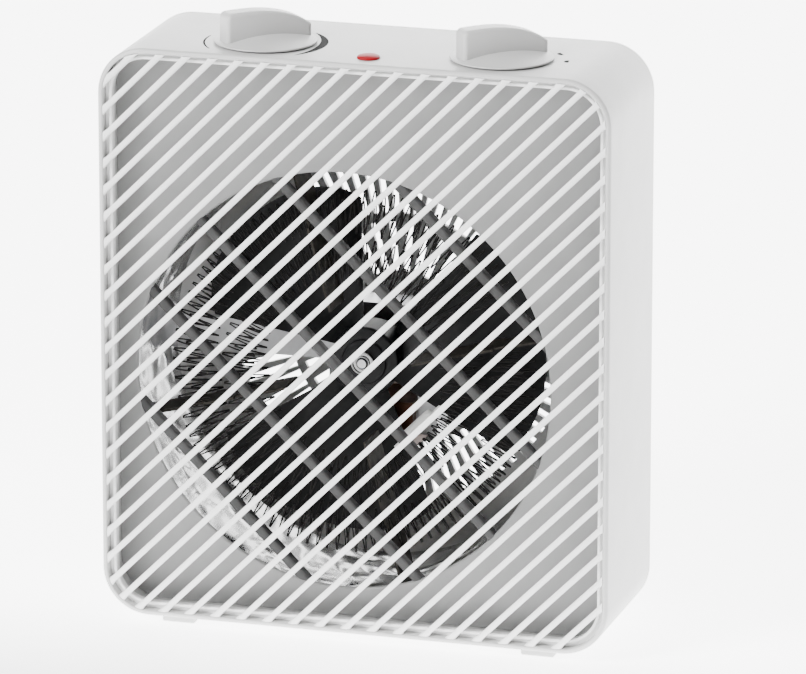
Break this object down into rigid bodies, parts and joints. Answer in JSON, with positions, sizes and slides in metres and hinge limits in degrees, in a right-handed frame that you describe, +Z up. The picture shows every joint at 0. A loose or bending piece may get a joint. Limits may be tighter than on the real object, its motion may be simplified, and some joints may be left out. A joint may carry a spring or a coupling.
{
  "type": "fan convector heater",
  "caption": "Box-shaped portable fan convector heater with diagonal slatted front, round outlet, two top knobs and a small lamp.",
  "frame": {"origin": "centre of the footprint, on the surface the feet stand on", "axes": "+Z up, -Y out of the front grille, +X to the right of someone facing the front"},
  "size_m": [0.23, 0.112, 0.2757],
  "materials": {
    "white_plastic": "satin moulded white plastic with a faint texture",
    "grey_plate": "matt light grey moulding",
    "bright_metal": "bright rolled sheet, slightly wavy",
    "steel": "plated steel",
    "black_plastic": "black moulded plastic",
    "mica": "pressed mica board",
    "resistance_wire": "oxidised resistance wire",
    "ceramic_sleeve": "white ceramic or woven sleeve",
    "copper_winding": "enamelled copper winding",
    "brass": "sintered bronze bush",
    "red_lens": "clear red lens",
    "lead_sleeve": "insulated lead"
  },
  "bodies": {
    "casing": {"front_case": "white_plastic", "front_grille": "white_plastic", "rear_cover": "white_plastic", "foot_front_left": "white_plastic", "foot_front_right": "white_plastic", "foot_rear_left": "white_plastic", "foot_rear_right": "white_plastic", "baffle_plate": "grey_plate", "reflector_drum": "bright_metal", "case_screw_1": "steel", "case_screw_2": "steel", "case_screw_3": "steel", "case_screw_4": "steel", "motor_stator": "steel", "motor_bracket_front": "steel", "motor_bracket_rear": "steel", "motor_screw_1": "steel", "motor_screw_2": "steel", "motor_strap": "steel", "tip_switch_spring": "steel", "cord_gland": "black_plastic", "thermal_cutout": "black_plastic", "thermostat_body": "black_plastic", "switch_body": "black_plastic", "lamp_collar": "black_plastic", "tip_switch_body": "black_plastic", "mica_arm_1": "mica", "mica_arm_2": "mica", "mica_arm_3": "mica", "mica_arm_4": "mica", "element_low": "resistance_wire", "element_high": "resistance_wire", "thermal_fuse": "ceramic_sleeve", "terminal_block": "ceramic_sleeve", "motor_coil": "copper_winding", "front_bearing": "brass", "rear_bearing": "brass", "lamp_lens": "red_lens", "lead_switch": "lead_sleeve", "lead_thermostat": "lead_sleeve"},
    "fan_assembly": {"fan": "black_plastic", "fan_clip": "bright_metal", "motor_shaft": "steel", "motor_rotor": "steel"},
    "thermostat_control": {"thermostat_knob": "white_plastic", "thermostat_spindle": "white_plastic"},
    "mode_control": {"mode_knob": "white_plastic", "switch_spindle": "white_plastic"},
    "tip_plunger": {"tip_switch_plunger": "white_plastic"}
  },
  "joints": [
    {"name": "thermostat_turn", "type": "hinge", "parent": "casing", "child": "thermostat_control", "pos_m": [-0.0471, -0.0288, 0.2605], "axis": [0, 0, -1], "range_deg": [0, 270]},
    {"name": "mode_turn", "type": "hinge", "parent": "casing", "child": "mode_control", "pos_m": [0.0591, -0.0288, 0.2605], "axis": [0, 0, -1], "range_deg": [0, 180]},
    {"name": "fan_spin", "type": "hinge", "parent": "casing", "child": "fan_assembly", "pos_m": [-0.0102, 0, 0.113], "axis": [0, 1, 0], "continuous": true},
    {"name": "tip_plunger_slide", "type": "slide", "parent": "casing", "child": "tip_plunger", "axis": [0, 0, -1], "range_m": [0, 0.0045], "stiffness_N_per_m": 30, "springref_m": 0.009, "deforming": ["tip_switch_spring"]}
  ]
}
